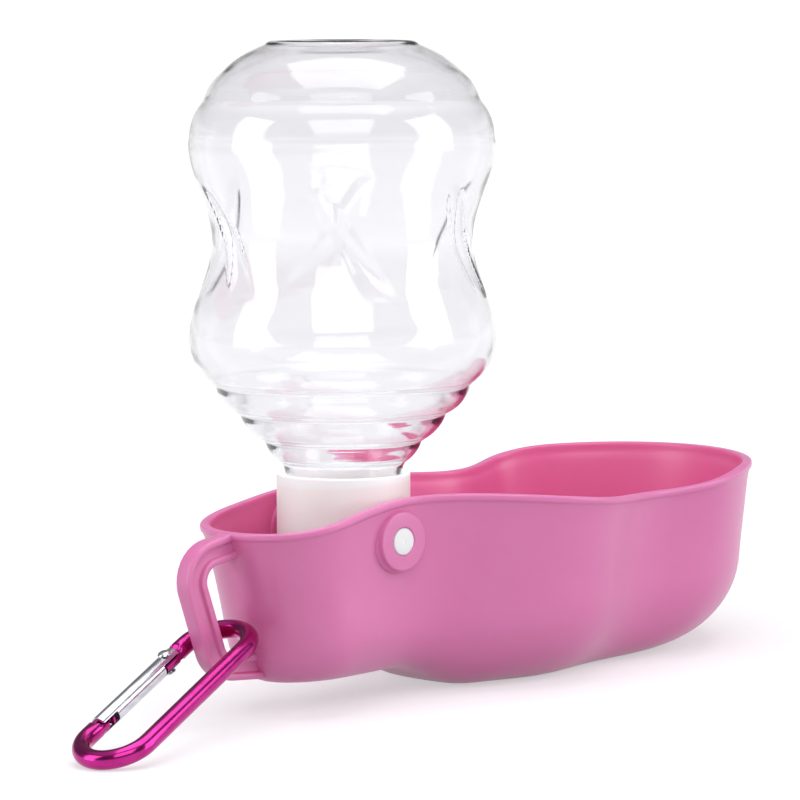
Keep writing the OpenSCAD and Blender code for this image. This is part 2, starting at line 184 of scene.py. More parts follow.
def noise(nodes, links, scale, detail=2.0, stretch=None):
    place = nodes.new("ShaderNodeTexCoord")
    pattern = nodes.new("ShaderNodeTexNoise")
    pattern.inputs["Scale"].default_value = scale
    pattern.inputs["Detail"].default_value = detail
    if stretch:
        turn = nodes.new("ShaderNodeMapping")
        turn.inputs["Rotation"].default_value = stretch[0]
        turn.inputs["Scale"].default_value = stretch[1]
        links.new(place.outputs["Object"], turn.inputs["Vector"])
        links.new(turn.outputs["Vector"], pattern.inputs["Vector"])
    else:
        links.new(place.outputs["Object"], pattern.inputs["Vector"])
    return pattern.outputs["Fac"]


def ramp(nodes, links, source, low, high, start=0.3, end=0.7):
    band = nodes.new("ShaderNodeValToRGB")
    band.color_ramp.elements[0].position = start
    band.color_ramp.elements[1].position = end
    band.color_ramp.elements[0].color = (*low, 1)
    band.color_ramp.elements[1].color = (*high, 1)
    links.new(source, band.inputs["Fac"])
    return band.outputs["Color"]


def spread(nodes, links, source, low, high):
    span = nodes.new("ShaderNodeMapRange")
    span.inputs["To Min"].default_value = low
    span.inputs["To Max"].default_value = high
    links.new(source, span.inputs["Value"])
    return span.outputs["Result"]


def relief(nodes, links, source, strength, depth):
    bump = nodes.new("ShaderNodeBump")
    bump.inputs["Strength"].default_value = strength
    bump.inputs["Distance"].default_value = depth
    links.new(source, bump.inputs["Height"])
    return bump.outputs["Normal"]


def mouldedPlastic(name, low, high, rough, skin=0.0, coat=0.0, grain=0.03):
    # a moulded surface: slightly cloudy colour and a fine texture
    material, nodes, links = nodeMaterial(name)
    shader = nodes["Principled BSDF"]
    cloud = noise(nodes, links, scale=45, detail=3)
    fine = noise(nodes, links, scale=2600)
    links.new(ramp(nodes, links, cloud, low, high), shader.inputs["Base Color"])
    links.new(spread(nodes, links, fine, rough[0], rough[1]), shader.inputs["Roughness"])
    links.new(relief(nodes, links, fine, grain, 0.0002), shader.inputs["Normal"])
    shader.inputs["IOR"].default_value = 1.49
    shader.inputs["Coat Weight"].default_value = coat
    shader.inputs["Coat Roughness"].default_value = 0.25
    if skin:
        shader.inputs["Subsurface Weight"].default_value = skin
        shader.inputs["Subsurface Radius"].default_value = (1.0, 0.45, 0.6)
        shader.inputs["Subsurface Scale"].default_value = 0.003
    return material


troughMiddle = {"tail": -0.078, "bowl": 0.03, "height": 0.045}


def insideShadeMask(nodes, links):
    # 1 on faces that look towards the trough's middle line, 0 on its outside: the mask for the painted shade
    # inside the trough
    place = nodes.new("ShaderNodeTexCoord")
    parts = nodes.new("ShaderNodeSeparateXYZ")
    links.new(place.outputs["Object"], parts.inputs["Vector"])
    along = nodes.new("ShaderNodeClamp")
    along.inputs["Min"].default_value = troughMiddle["tail"]
    along.inputs["Max"].default_value = troughMiddle["bowl"]
    links.new(parts.outputs["X"], along.inputs["Value"])
    middle = nodes.new("ShaderNodeCombineXYZ")
    middle.inputs["Z"].default_value = troughMiddle["height"]
    links.new(along.outputs["Result"], middle.inputs["X"])
    inward = nodes.new("ShaderNodeVectorMath")
    inward.operation = "SUBTRACT"
    links.new(middle.outputs["Vector"], inward.inputs[0])
    links.new(place.outputs["Object"], inward.inputs[1])
    direction = nodes.new("ShaderNodeVectorMath")
    direction.operation = "NORMALIZE"
    links.new(inward.outputs["Vector"], direction.inputs[0])
    surface = nodes.new("ShaderNodeNewGeometry")
    facing = nodes.new("ShaderNodeVectorMath")
    facing.operation = "DOT_PRODUCT"
    links.new(direction.outputs["Vector"], facing.inputs[0])
    links.new(surface.outputs["Normal"], facing.inputs[1])
    span = nodes.new("ShaderNodeMapRange")
    span.interpolation_type = "SMOOTHSTEP"
    span.inputs["From Min"].default_value = 0.05
    span.inputs["From Max"].default_value = 0.6
    links.new(facing.outputs["Value"], span.inputs["Value"])
    return span.outputs["Result"]


def beyond(nodes, links, axis, low, high):
    # 0 below low and 1 above high, along one of the piece's own axes, on either side
    place = nodes.new("ShaderNodeTexCoord")
    parts = nodes.new("ShaderNodeSeparateXYZ")
    links.new(place.outputs["Object"], parts.inputs["Vector"])
    size = nodes.new("ShaderNodeMath")
    size.operation = "ABSOLUTE"
    links.new(parts.outputs[axis], size.inputs[0])
    span = nodes.new("ShaderNodeMapRange")
    span.inputs["From Min"].default_value = low
    span.inputs["From Max"].default_value = high
    links.new(size.outputs[0], span.inputs["Value"])
    return span.outputs["Result"]


def tint(material, colour, where):
    # lays one more colour over the material's own
    nodes, links = material.node_tree.nodes, material.node_tree.links
    base = nodes["Principled BSDF"].inputs["Base Color"]
    layer = nodes.new("ShaderNodeMix")
    layer.data_type = "RGBA"
    links.new(where(nodes, links), layer.inputs[0])
    links.new(base.links[0].from_socket, layer.inputs[6])
    layer.inputs[7].default_value = (*colour, 1)
    links.new(layer.outputs[2], base)


def blownPlastic(name):
    # clear bottle wall, a little wavy from blowing
    material, nodes, links = nodeMaterial(name)
    shader = nodes["Principled BSDF"]
    wave = noise(nodes, links, scale=60, detail=1, stretch=((0, 0, 0), (1, 1, 2.2)))
    fine = noise(nodes, links, scale=400)
    links.new(spread(nodes, links, fine, 0.02, 0.07), shader.inputs["Roughness"])
    links.new(relief(nodes, links, wave, 0.12, 0.002), shader.inputs["Normal"])
    shader.inputs["Base Color"].default_value = (0.955, 0.953, 0.972, 1)
    shader.inputs["IOR"].default_value = 1.48
    shader.inputs["Transmission Weight"].default_value = 1.0
    return material


def metal(name, low, high, rough, stretch=None, grain=0.05):
    material, nodes, links = nodeMaterial(name)
    shader = nodes["Principled BSDF"]
    streak = noise(nodes, links, scale=300, detail=3, stretch=stretch)
    links.new(ramp(nodes, links, streak, low, high), shader.inputs["Base Color"])
    links.new(spread(nodes, links, streak, rough[0], rough[1]), shader.inputs["Roughness"])
    links.new(relief(nodes, links, streak, grain, 0.0001), shader.inputs["Normal"])
    shader.inputs["Metallic"].default_value = 1.0
    return material


# low and high are the ends of each colour's range
pinkPlastic = mouldedPlastic("pinkPlastic", low=(0.7, 0.19, 0.43), high=(0.73, 0.21, 0.46),
                             rough=(0.3, 0.4), skin=0.2, coat=0.15)
# the inside of the trough gets a deeper, redder pink: painted shade and painted interreflected pink light
tint(pinkPlastic, (0.72, 0.13, 0.33), insideShadeMask)
# the cap's pinkish cream is painted pink light reflected from the trough; the thin rim and trunnion ends are
# tinted to the plastic's own white
whitePlasticPinkBounce = mouldedPlastic("whitePlasticPinkBounce", low=(0.92, 0.85, 0.84), high=(0.94, 0.87, 0.86),
                              rough=(0.38, 0.5), skin=0.5)
tint(whitePlasticPinkBounce, (0.93, 0.92, 0.93),
     lambda nodes, links: beyond(nodes, links, "Z", 0.0494, 0.0502))  # thin rim
tint(whitePlasticPinkBounce, (0.93, 0.92, 0.94),
     lambda nodes, links: beyond(nodes, links, "Y", 0.0175, 0.018))  # trunnion ends
softSilicone = mouldedPlastic("softSilicone", low=(0.78, 0.78, 0.78), high=(0.84, 0.84, 0.84),
                              rough=(0.5, 0.65), skin=0.6)
clearPlastic = blownPlastic("clearPlastic")
anodised = metal("anodised", low=(0.41, 0.022, 0.2), high=(0.5, 0.034, 0.25), rough=(0.12, 0.22))
alongHook = ((0, math.radians(18.6), math.radians(194)), (0.15, 3, 3))  # turn and stretch of the streaks
platedSteel = metal("platedSteel", low=(0.56, 0.58, 0.62), high=(0.72, 0.74, 0.78),
                    rough=(0.14, 0.3), stretch=alongHook, grain=0.12)
print("materials made")


# trough: stations along X from the pivot, in millimetres
trough = {
    "tail": -34.8, "bowl": 116.8, "wall": 1.8, "tailRound": 18, "bowlRound": 36,
    "halfWidth": [(-34.8, 20.1), (0, 18.9), (44.2, 38.2), (66.2, 33), (88.2, 37.8),
                  (116.8, 37.8)],
    "rim": [(-34.8, 42.7), (4, 46.9), (72.2, 40.8), (98.8, 43.2), (116.8, 43.2)],
    "footTail": -24, "footBowl": 91.8, "footTailRound": 12, "footBowlRound": 22,
    "footHalf": [(-24, 9), (8, 7), (22, 7), (44.2, 15), (66.2, 13.5), (91.8, 13.5)],
    "under": [(-22, 7.7), (5, 6.9), (26, 0)],
    "corner": [(-34.8, 17.5), (0, 18.5), (44.2, 22.5), (116.8, 22.5)],
    "draft": [(-34.8, 5), (-14.8, 3)], "around": 144, "cornerRings": 10, "wallRings": 7,
    "beadOut": 0.55, "beadHeight": 1.5,
    "swellOut": 1.5, "swellAt": (-12, 18.5), "swellReach": (14, 7),  # the cheeks bulge low down
}


def roundEnd(distance, length):
    if distance >= length:
        return 1
    return math.sqrt(max(0, 1 - ((length - distance) / length) ** 2))


def sideOf(angle):
    s = math.sin(angle)
    return 0 if abs(s) < 1e-9 else math.copysign(1, s)


def rimPoint(angle):
    t = trough
    x = (t["bowl"] + t["tail"]) / 2 + (t["bowl"] - t["tail"]) / 2 * math.cos(angle)
    ends = roundEnd(x - t["tail"], t["tailRound"]), roundEnd(t["bowl"] - x, t["bowlRound"])
    half = flow(t["halfWidth"], x) * ends[0] * ends[1]
    return Vector((x, sideOf(angle) * half, flow(t["rim"], x)))


def footPoint(angle):
    t = trough
    x = (t["footBowl"] + t["footTail"]) / 2 + (t["footBowl"] - t["footTail"]) / 2 * math.cos(angle)
    ends = roundEnd(x - t["footTail"], t["footTailRound"]), roundEnd(t["footBowl"] - x, t["footBowlRound"])
    half = flow(t["footHalf"], x) * ends[0] * ends[1]
    return Vector((x, sideOf(angle) * half, flow(t["under"], x)))


def skinPoint(angle, v):
    # v runs from 0 at the foot through 1 at the top of the corner to 2 at the rim
    rim, foot = rimPoint(angle), footPoint(angle)
    run = (rim.xy - foot.xy).length
    top = rim + (foot - rim) * min(0.6, flow(trough["draft"], rim.x) / run)
    height = flow(trough["corner"], rim.x)
    if v <= 1:  # a quarter of an ellipse
        s, c = math.sin(math.pi / 2 * v), math.cos(math.pi / 2 * v)
        point = Vector((foot.x + (top.x - foot.x) * s, foot.y + (top.y - foot.y) * s,
                        foot.z + (height - foot.z) * (1 - c)))
    else:
        t = v - 1
        point = Vector((top.x + (rim.x - top.x) * t, top.y + (rim.y - top.y) * t,
                        height + (rim.z - height) * t))
    (x, z), (reachX, reachZ) = trough["swellAt"], trough["swellReach"]
    fade = math.exp(-((point.x - x) / reachX) ** 2) * math.exp(-((point.z - z) / reachZ) ** 2)
    swell = trough["swellOut"] * fade
    point.y += sideOf(angle) * swell * min(1, abs(math.sin(angle)) * 3)
    return point


def skinNormal(angle, v):
    turn, rise = math.radians(1.2), 0.02  # small steps to either side
    around = skinPoint(angle + turn, v) - skinPoint(angle - turn, v)
    upwards = skinPoint(angle, min(2, v + rise)) - skinPoint(angle, max(0, v - rise))
    return around.cross(upwards).normalized()


def shift(point):
    # from millimetres off the pivot to the scene's metres
    return (point + Vector((pivotX, 0, 0))) * mm


def troughShell():
    t = trough
    count = t["around"]
    angles = [2 * math.pi * (i + 0.5) / count for i in range(count)]
    levels = [i / t["cornerRings"] for i in range(t["cornerRings"] + 1)]
    levels += [1 + i / t["wallRings"] for i in range(1, t["wallRings"])]
    flats = [skinNormal(a, 1.9) for a in angles]  # taken just under the rim
    flats = [Vector((n.x, n.y, 0)).normalized() for n in flats]
    out, high, wall = t["beadOut"], t["beadHeight"], t["wall"]
    bead = [(0, high + 0.4), (0.04, high + 0.1), (out - 0.04, high - 0.05), (out, 0.5), (out - 0.1, 0.14),
            (out - 0.4, 0), (0.45 - wall, 0), (0.12 - wall, 0.12), (-wall, 0.45), (-wall, high + 0.9)]
    rings = [[skinPoint(a, v) for a in angles] for v in levels]
    for away, drop in bead:
        rings.append([rimPoint(a) + n * away - Vector((0, 0, drop)) for a, n in zip(angles, flats)])
    for v in reversed(levels):
        rings.append([skinPoint(a, v) - skinNormal(a, v) * wall for a in angles])
    rings = [[shift(place) for place in places] for places in rings]
    bm, first, last = loft(rings, closeEnds=False)
    for loop in (first, last):  # both floors are bridged from side to side
        half = count // 2
        near = [bm.edges.get((loop[k], loop[k + 1])) for k in range(half - 1)]
        far = [bm.edges.get((loop[k], loop[(k + 1) % count])) for k in range(half, count - 1)]
        bmesh.ops.bridge_loops(bm, edges=near + far)
    bmesh.ops.recalc_face_normals(bm, faces=bm.faces)
    return bm


def smoothMesh(piece, levels=1):
    finer = piece.modifiers.new("finer", "SUBSURF")
    finer.levels = finer.render_levels = levels
    return settle(piece)


# the bosses stand on the cheeks and flare into them
boss = {"radius": 6.5, "proud": 0.9, "inside": 15.3, "flare": [(0.25, 1.3), (0.8, 1.9)], "foot": 0.6,
        "round": 0.35, "bore": 3.05, "chamfer": 0.35, "beyond": 1.8}
bossFace = flow(trough["halfWidth"], 0) + boss["proud"]


def bossMesh(side):
    high = bossFace - boss["inside"]
    profile = [(0, high), (boss["radius"], high)]
    profile += [(boss["radius"] + out, high - down) for out, down in boss["flare"]]
    profile += [(profile[-1][0], boss["foot"]), (boss["bore"], 0), (0, 0)]
    bm = lathe(roundCorners(profile, boss["round"]), 72)
    turn = Matrix.Rotation(-side * math.pi / 2, 4, "X")
    bm.transform(Matrix.Translation(pivot + Vector((0, side * boss["inside"] * mm, 0))) @ turn)
    bmesh.ops.recalc_face_normals(bm, faces=bm.faces)
    return bm


def boreMesh():
    # one cutter through both cheeks, with a small chamfer at either face
    far = bossFace + boss["beyond"]
    half = [(boss["bore"], bossFace - boss["chamfer"]),
            (boss["bore"] + boss["chamfer"] + boss["beyond"], far), (0, far)]
    bm = lathe([(r, -y) for r, y in reversed(half)] + half, 60)
    bm.transform(Matrix.Translation(pivot) @ Matrix.Rotation(math.pi / 2, 4, "X"))
    return bm


shell = smoothMesh(addPiece("trough", troughShell(), pinkPlastic))
for side in (-1, 1):
    shell = combine(shell, addPiece("boss", bossMesh(side), pinkPlastic), "UNION")
shell = combine(shell, addPiece("bore", boreMesh(), pinkPlastic), "DIFFERENCE")

# lanyard loop: corners of its line as (along X, up)
strap = {"line": [(-33.8, 39.8), (-47.1, 37.9), (-39.9, 13.3), (-27.4, 11.9)], "bends": [6.2, 6],
         "thick": 5.6, "flange": 4.2, "web": 2.4, "flangeThick": 1.5, "footCut": (0.8, -1.1),
         "round": 0.35}


def strapLine():
    line = [Vector(p) for p in strap["line"]]
    done = [line[0]]
    for before, corner, after, radius in zip(line, line[1:], line[2:], strap["bends"]):
        u, w = (before - corner).normalized(), (after - corner).normalized()
        half = u.angle(w) / 2
        centre = corner + (u + w).normalized() * radius / math.sin(half)
        reach = radius / math.tan(half)
        start, end = corner + u * reach - centre, corner + w * reach - centre
        for t in range(13):
            done.append(centre + (start * (1 - t / 12) + end * t / 12).normalized() * radius)
    return done + [line[-1]]


def strapSection():
    # outline of the I-shaped strap: (outward, sideways), one half and its mirror
    t, f, w, r = strap["thick"] / 2, strap["flange"] / 2, strap["web"] / 2, strap["round"]
    inner = t - strap["flangeThick"]
    half = [(t, f - 1.2), (t, f - r), (t - 0.3 * r, f - 0.3 * r), (t - r, f), (inner + 0.3, f),
            (inner + 0.05, f - 0.1), (inner - 0.25, w + 0.05), (inner - 0.6, w)]
    half += [(-n, y) for n, y in reversed(half)]
    return half + [(n, -y) for n, y in reversed(half)]


def strapMesh():
    line = strapLine()
    rings = []
    for i, point in enumerate(line):
        along = (line[min(i + 1, len(line) - 1)] - line[max(i - 1, 0)]).normalized()
        outward = Vector((along.y, -along.x)) if i < len(line) - 1 else Vector(strap["footCut"])
        rings.append([shift(Vector((point.x + outward.x * n, y, point.y + outward.y * n)))
                      for n, y in strapSection()])
    return loft(rings)


shell = combine(shell, addPiece("strap", strapMesh(), pinkPlastic), "UNION")

# outlet seal and its post: lengths from the pivot, on a line turned from upright
seal = {"turn": 261, "face": 22.4, "padRadius": 4, "padThick": 2.6, "stemRadius": 1.5, "stemLength": 3.5,
        "postEnd": 31.9, "hollow": 1.2, "round": 0.3}
sealTurn = Matrix.Translation(pivot) @ Matrix.Rotation(math.radians(seal["turn"]), 4, "Y")
padBack = seal["face"] + seal["padThick"]
stemEnd = padBack + seal["stemLength"]


def cylinder(radius, low, high, steps):
    return lathe([(0, low), (radius, low), (radius, high), (0, high)], steps)


post = cylinder(seal["padRadius"], padBack, seal["postEnd"], 48)
post.transform(sealTurn)
shell = combine(shell, addPiece("post", post, pinkPlastic), "UNION")
socket = cylinder(seal["stemRadius"], padBack - 1, stemEnd, 32)
socket.transform(sealTurn)
shell = combine(shell, addPiece("socket", socket, pinkPlastic), "DIFFERENCE")
mount(shell, "trough", "trough_plastic", "trough")
print("trough made:", len(shell.data.polygons))


def sealPad():
    # soft pad that the nozzle is swept against
    pad, stem, tip = seal["padRadius"], seal["stemRadius"], stemEnd - 0.05
    profile = [(0, seal["face"]), (pad, seal["face"]), (pad, padBack), (stem, padBack), (stem, tip), (0, tip)]
    bm = lathe(roundCorners(profile, seal["round"]), 64)
    for vert in bm.verts:
        if vert.co.z < (seal["face"] + seal["hollow"]) * mm:  # the face follows the nozzle's sweep
            vert.co.z += math.sqrt((seal["face"] * mm) ** 2 - vert.co.x ** 2) - seal["face"] * mm
    bm.transform(sealTurn)
    return bm


mount(addPiece("outlet_seal", sealPad(), softSilicone), "trough", "soft_seal", "outlet_seal")

# cap with its trunnions and nozzle, upright about the pivot
cap = {"radius": 15, "bore": 13.75, "rise": 14, "drop": 11, "floor": 2, "nozzleReach": 22,
       "nozzleRadius": 3.4, "nozzleBore": 1.6, "boreStations": (-12, -16, -20), "round": 0.45,
       "trunnion": 3, "trunnionRoot": 14.4, "trunnionEnd": 19.8, "trunnionRound": 0.3,
       "dimple": 0.6, "dimpleDeep": 0.15,
       "pitch": 2.7, "thread": (-3, 9.5), "threadIn": 0.8, "threadWidth": 1.2}


def helix(radius, low, high, height, width, pitch, phase=0, perTurn=40):
    # one start of a screw thread whose ends run out
    turns = (high - low) / pitch
    count = int(turns * perTurn)
    rings = []
    for i in range(count + 1):
        a = 2 * math.pi * turns * i / count + phase
        crest = height * min(1, 4 * min(i, count - i) / perTurn + 0.06)
        z = low + (high - low) * i / count
        shape = [(-0.15, -width / 2), (crest, -width / 5), (crest, width / 5), (-0.15, width / 2)]
        rings.append([Vector(((radius + out) * math.cos(a), (radius + out) * math.sin(a), z + up)) * mm
                      for out, up in shape])
    return loft(rings)


def capMesh():
    t = cap
    low, top, floor, tip = -t["drop"], t["rise"], t["floor"] - t["drop"], -t["nozzleReach"]
    profile = [(t["nozzleBore"], tip), (t["nozzleRadius"], tip), (t["nozzleRadius"], low),
               (t["radius"], low), (t["radius"], top), (t["bore"], top), (t["bore"], floor),
               (t["nozzleBore"], floor)]
    bore = [(t["nozzleBore"], z) for z in t["boreStations"]]
    bm = lathe(roundCorners(profile, t["round"]) + bore, 144, closed=True)
    for vert in bm.verts:
        if vert.co.z < (0.6 - t["nozzleReach"]) * mm:  # the end follows its sweep about the pivot
            vert.co.z += t["nozzleReach"] * mm - math.sqrt((t["nozzleReach"] * mm) ** 2 - vert.co.x ** 2)
    return bm


def trunnionMesh(side):
    root, end, dimple = cap["trunnionRoot"], cap["trunnionEnd"], cap["dimple"]
    bottom = end - cap["dimpleDeep"]
    profile = [(0, root), (cap["trunnion"], root), (cap["trunnion"], end), (dimple, end),
               (dimple - 0.1, bottom), (0, bottom)]
    bm = lathe(roundCorners(profile, cap["trunnionRound"]), 64)
    bm.transform(Matrix.Rotation(-side * math.pi / 2, 4, "X"))
    bmesh.ops.recalc_face_normals(bm, faces=bm.faces)
    return bm


capPiece = addPiece("cap", capMesh(), whitePlasticPinkBounce, 30)
for side in (-1, 1):
    capPiece = combine(capPiece, addPiece("stub", trunnionMesh(side), whitePlasticPinkBounce), "UNION")
ridge = helix(cap["bore"], *cap["thread"], -cap["threadIn"], cap["threadWidth"], cap["pitch"], math.pi)
capPiece = combine(capPiece, addPiece("ridge", ridge, whitePlasticPinkBounce), "UNION")
capPiece.data.transform(upright)
mount(capPiece, "cap", "cap_plastic", "cap")

washer = {"inner": 9.2, "outer": 13.6, "low": -8.85, "thick": 1.2, "round": 0.15}


def tubeProfile(inner, outer, low, high):
    return [(inner, low), (outer, low), (outer, high), (inner, high), (inner, low)]


def washerMesh():
    w = washer
    profile = tubeProfile(w["inner"], w["outer"], w["low"], w["low"] + w["thick"])
    bm = lathe(roundCorners(profile, w["round"]), 96)
    bm.transform(upright)
    return bm


mount(addPiece("neck_seal", washerMesh(), softSilicone), "washer", "soft_seal", "neck_seal")
print("cap, washer and pad made")

# bottle: (radius, height above the pivot) in millimetres, neck down
bottle = {"lip": -7.5, "neck": 12.6, "neckTop": 13, "collar": 13.2, "collarAt": 14.5,
          "thread": (-5.2, 8.6), "threadOut": 0.75, "threadWidth": 1.1,
          "bulge": 34.4, "waist": 29.2, "lowBulge": 44.2, "pitch": 44,
          "steps": [(13.2, 16, 0.7), (17.3, 21, 0.9), (22.9, 27.2, 1.1), (28.3, 33.5, 1.5)],
          "crown": [(34.4, 88.2, 0.9), (31.2, 96.8, 0.7), (26.6, 103.7, 0.5), (17.4, 109.6, 0)],
          "ledge": 0.35, "end": 110.6, "base": 16, "baseRound": 1.2, "punt": 13, "puntHeight": 2.5,
          "wall": 0.7, "around": 256, "grooves": 6, "grooveDepth": 1.25, "grooveHalf": 12,
          "grooveSlant": 13, "grooveWidth": 1.4, "grooveTurn": -9}


def waistRadius(height):
    b = bottle
    swing = math.cos(2 * math.pi * (height - b["lowBulge"]) / b["pitch"])
    return (b["bulge"] + b["waist"]) / 2 + (b["bulge"] - b["waist"]) / 2 * swing


def bottleSkin():
    b = bottle
    path = [(b["neck"], b["lip"]), (b["neck"], b["neckTop"]), (b["collar"], b["collarAt"])]
    for (r0, z0, sag), (r1, z1, _) in zip(b["steps"], b["steps"][1:]):
        path += arcPoints((r0, z0), (r1 + b["ledge"], z1), sag, 9)
    r, z, sag = b["steps"][-1]
    path += arcPoints((r, z), (b["bulge"] + 0.05, b["lowBulge"] - 0.25), sag, 14)
    heights = [b["lowBulge"] + b["pitch"] * i / 60 for i in range(61)]
    path += [(waistRadius(z), z) for z in heights]
    for (r0, z0, sag), (r1, z1, _) in zip(b["crown"], b["crown"][1:]):
        path += arcPoints((r0 - b["ledge"], z0 + 0.5), (r1, z1), sag, 10)
    return path


def grooveDip(angle, height):
    # how far a finger groove goes in at this place on the bottle
    b = bottle
    u = (height - b["lowBulge"] - b["pitch"] / 2) / b["grooveHalf"]
    if abs(u) >= 1:
        return 0
    pitch = 360 / b["grooves"]
    off = math.degrees(angle) - b["grooveTurn"] + b["grooveSlant"] * u
    near = math.radians(off - pitch * round(off / pitch)) * b["waist"]
    across = near / (b["grooveWidth"] * (1.3 - 0.5 * u) * 1.6)
    dip = max(0, 1 - across ** 2)
    return b["grooveDepth"] * dip * math.sqrt(1 - u * u)


def bottleMesh():
    b = bottle
    skin = bottleSkin()
    puntTop = b["end"] - b["puntHeight"]
    base = [b["crown"][-1][:2], (b["base"], b["end"]), (b["punt"], b["end"]), (b["punt"] - 2, puntTop),
            (0.2, puntTop + 0.3)]
    outer = skin[:2] + soften(skin[2:], 2) + roundCorners(base, b["baseRound"])[1:]
    inner = []
    for before, (r, z), after in zip([outer[0]] + outer, outer, outer[1:] + [outer[-1]]):
        along = (Vector(after) - Vector(before)).normalized()
        inner.append((max(0.2, r - along.y * b["wall"]), z + along.x * b["wall"]))
    inner[0] = (b["neck"] - b["wall"], b["lip"])
    inner = inner[:2] + soften(inner[2:], 4)  # the inside of a blown wall is softer
    bm = lathe([(0, outer[-1][1])] + outer[::-1] + inner + [(0, inner[-1][1])], b["around"])
    for vert in bm.verts:
        dip = grooveDip(math.atan2(vert.co.y, vert.co.x), vert.co.z / mm) * mm
        if dip:
            reach = vert.co.xy.length
            inside = reach < (waistRadius(vert.co.z / mm) - b["wall"] / 2) * mm
            vert.co.xy *= (reach - dip * (0.8 if inside else 1)) / reach  # shallower inside
    return bm


def bottlePiece():
    b = bottle
    piece = addPiece("bottle", bottleMesh(), clearPlastic, 60)
    thread = helix(b["neck"], *b["thread"], b["threadOut"], b["threadWidth"], cap["pitch"])
    combine(piece, addPiece("thread", thread, clearPlastic), "UNION")
    piece.data.transform(upright)
    return mount(piece, "bottle", "clear_plastic", "bottle")


bottleObject = bottlePiece()
bottleObject.visible_shadow = False  # light reaches the cap through the clear wall
print("bottle made:", len(bottleObject.data.polygons))

# snap-hook, laid along its own X with the gate's side at -Y
hook = {"at": (-34.7, -0.8, 21.26), "turn": 193, "rod": 2.1, "bend": 7.9, "gap": 38.5,
        "tongueFrom": 3, "tongueTo": 10, "tongueThick": 1.6, "rivetAt": 7.5, "rivetRadius": 0.8,
        "gateFrom": 4.8, "gateEnd": 4.4, "gateRadius": 2.1, "gateBore": 1.5, "gateRound": 0.12,
        "pinBack": 1.9, "pinRadius": 0.5, "pinRound": 0.12, "slack": 0.3, "through": 5, "slab": 9,
        "rivetHead": [(0, 2.7), (0.9, 2.66), (1.35, 2.45), (1.5, 2.2), (1.4, 2.11)]}
hookSlope = math.asin((hook["at"][2] - hook["rod"]) / (2 * hook["bend"] + hook["gap"]))
hookPlace = (Matrix.Translation((Vector(hook["at"]) + Vector((pivotX, 0, 0))) * mm)
             @ Matrix.Rotation(math.radians(hook["turn"]), 4, "Z") @ Matrix.Rotation(hookSlope, 4, "Y"))
gateSide = hookPlace @ Matrix.Translation(Vector((hook["bend"], -hook["bend"], 0)) * mm)
alongGate = gateSide @ Matrix.Rotation(math.pi / 2, 4, "Y")
gateTo = hook["gap"] - hook["gateEnd"]
pinAt = gateTo - hook["pinBack"]


def bendStations(centre, start):
    # half a turn of round rod about (centre, 0), from the start angle on
    found = []
    for i in range(25):
        a = math.radians(start - 180 * i / 24)
        place = Vector((centre + hook["bend"] * math.cos(a), hook["bend"] * math.sin(a)))
        found.append((place, Vector((math.sin(a), -math.cos(a))), hook["rod"], 1))
    return found


def hookStations():
    # (place, direction, thickness, width) from the hinge tongue round the C to the latch tongue
    h = hook
    r, gap, rod, flat = h["bend"], h["gap"], h["rod"], h["tongueThick"] / 2
    hinge = [(h["tongueTo"], flat, 0.97), (h["tongueFrom"] + 1.1, flat, 1.0),
             (h["tongueFrom"] + 0.6, flat * 1.15, 1.02), (h["tongueFrom"], rod * 0.8, 1.02),
             (h["tongueFrom"] - 0.8, rod, 1)]
    latch = [(gateTo + 1.9, rod, 1), (gateTo + 1.2, rod * 0.8, 1.02), (gateTo + 0.7, flat * 1.15, 1.02),
             (gateTo + 0.2, flat, 1.0), (pinAt - 1.5, flat, 0.97)]
    found = [(Vector((r + x, -r)), Vector((-1, 0)), thick, wide) for x, thick, wide in hinge]
    found += bendStations(r, 270)
    found += [(Vector((r + gap * t, r)), Vector((1, 0)), rod, 1) for t in (0.25, 0.5, 0.75)]
    found += bendStations(r + gap, 90)
    return found + [(Vector((r + x, -r)), Vector((-1, 0)), thick, wide) for x, thick, wide in latch]


def hookMesh():
    rings = []
    for place, ahead, thick, wide in hookStations():
        side = Vector((-ahead.y, ahead.x))
        ring = []
        for k in range(32):
            a = 2 * math.pi * k / 32
            up = max(-thick, min(thick, hook["rod"] * math.sin(a)))
            spot = place + side * math.cos(a) * hook["rod"] * wide
            ring.append(Vector((spot.x, spot.y, up)) * mm)
        rings.append(ring)
    bm = loft(rings)
    bm.transform(hookPlace)
    return bm


def notch():
    # the latch pin's way in, open towards the hook's inside
    wide, far = hook["pinRadius"] + hook["slack"], hook["through"]
    turns = [math.radians(a) for a in range(180, 361, 15)]
    shape = [(-wide, far)] + [(wide * math.cos(a), wide * math.sin(a)) for a in turns] + [(wide, far)]
    bm = loft([[Vector((pinAt + x, y, z)) * mm for x, y in shape] for z in (-far, far)])
    bm.transform(gateSide)
    return bm


def rodPiece(profile, place, steps=48):
    bm = lathe(profile, steps)
    bm.transform(place)
    return bm


def across(x):
    return gateSide @ Matrix.Translation((x * mm, 0, 0))


def gateSlot(low, high, wide):
    # a slab that makes room for a tongue in the sleeve's end
    bm = bmesh.new()
    place = Matrix.Translation(((low + high) / 2 * mm, 0, 0))
    size = Matrix.Diagonal(((high - low) * mm, hook["slab"] * mm, wide * mm, 1))
    bmesh.ops.create_cube(bm, size=1, matrix=place @ size)
    bm.transform(gateSide)
    return bm


